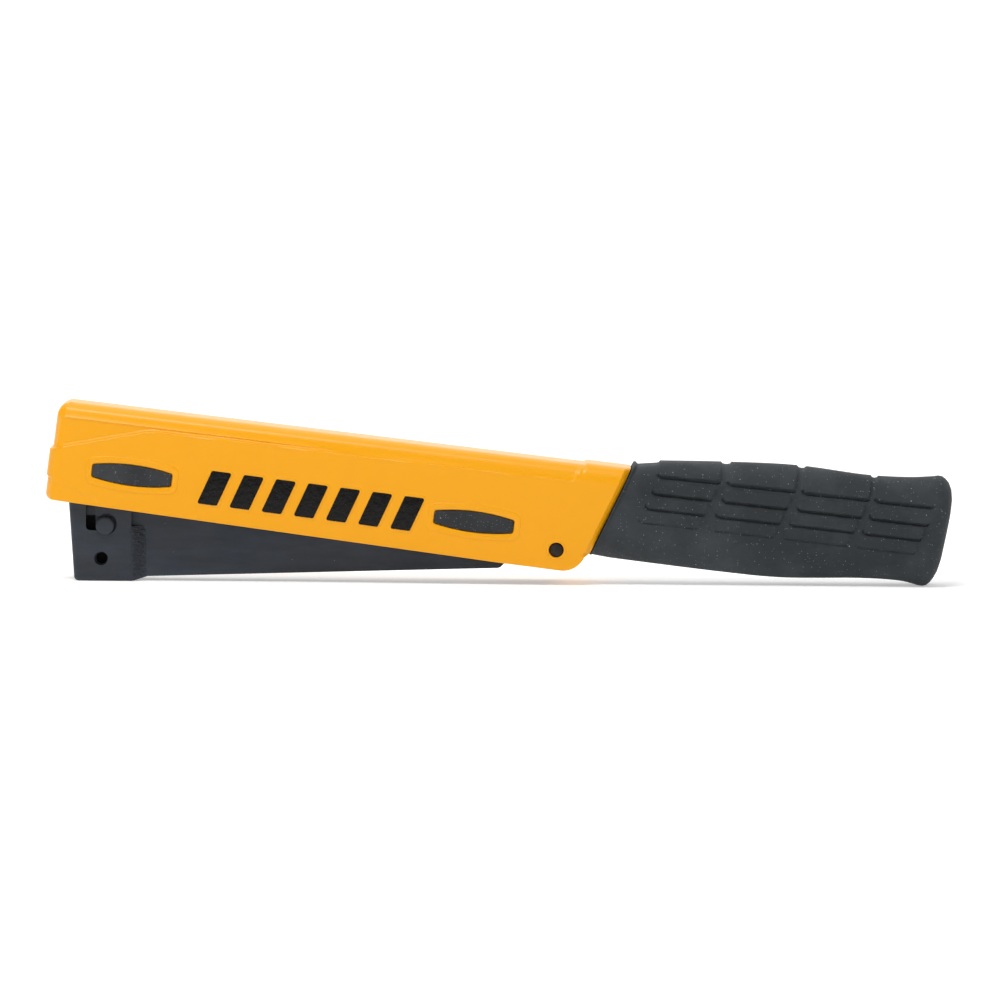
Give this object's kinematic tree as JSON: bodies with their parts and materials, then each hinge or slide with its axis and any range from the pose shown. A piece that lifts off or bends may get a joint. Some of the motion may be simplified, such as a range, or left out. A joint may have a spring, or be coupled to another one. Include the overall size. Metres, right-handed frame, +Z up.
{
  "type": "hammer tacker",
  "caption": "Strike-to-drive staple hammer: a long painted housing with a ribbed rubber grip hinged over a dark steel staple magazine.",
  "frame": {"origin": "middle of the tool's box in X and Y, on the bench that it stands on with its nose sole and its butt", "axes": "+X from the nose to the butt, +Y across the tool, +Z up from the bench"},
  "size_m": [0.3448, 0.0332, 0.0682],
  "materials": {
    "coat": "glossy orange-yellow powder coat on a die casting",
    "grip_rubber": "matt charcoal moulded rubber",
    "pad_rubber": "matt charcoal rubber inlay",
    "blued_steel": "dark slate blued steel",
    "weld_metal": "rough blackened weld",
    "bright_steel": "ground spring steel",
    "dark_pin": "blackened steel",
    "spring_steel": "oiled spring wire",
    "buffer_rubber": "matt black rubber",
    "staple_wire": "galvanised staple wire",
    "bush_bronze": "sintered bronze"
  },
  "bodies": {
    "handle": {"housing": "coat", "grip": "grip_rubber", "side_pad_front_near": "pad_rubber", "side_pad_front_far": "pad_rubber", "side_pad_rear_near": "pad_rubber", "side_pad_rear_far": "pad_rubber", "driver_blade": "bright_steel", "driver_screw": "blued_steel", "pivot_pin": "dark_pin", "stop_pin": "dark_pin", "pivot_clip_near": "spring_steel", "pivot_clip_far": "spring_steel", "roof_bumper": "buffer_rubber", "return_spring": "spring_steel"},
    "magazine": {"magazine_channel": "blued_steel", "nose_wrap": "blued_steel", "weld_bead_near": "weld_metal", "weld_bead_far": "weld_metal", "nose_cross_pin": "blued_steel", "rear_rivet": "blued_steel", "tail_rivet": "blued_steel", "front_block": "blued_steel", "staple_rail": "bright_steel", "staple_strip": "staple_wire", "pusher_spring": "spring_steel", "guide_rod": "bright_steel", "rear_block": "blued_steel", "pivot_bracket": "blued_steel", "pivot_bush_near": "bush_bronze", "pivot_bush_far": "bush_bronze", "spring_seat": "blued_steel"},
    "pusher": {"pusher": "bright_steel"}
  },
  "joints": [
    {"name": "magazine_swing", "type": "hinge", "parent": "handle", "child": "magazine", "pos_m": [0.0214, 0, 0.01354], "axis": [0, 1, 0], "range_deg": [0, 7], "stiffness_Nm_per_rad": 8, "springref_deg": -14.32, "deforming": ["return_spring"]},
    {"name": "pusher_slide", "type": "slide", "parent": "magazine", "child": "pusher", "axis": [0.9995, 0, 0.0314], "range_m": [0, 0.055], "stiffness_N_per_m": 120, "springref_m": -0.07, "deforming": ["pusher_spring"]}
  ]
}
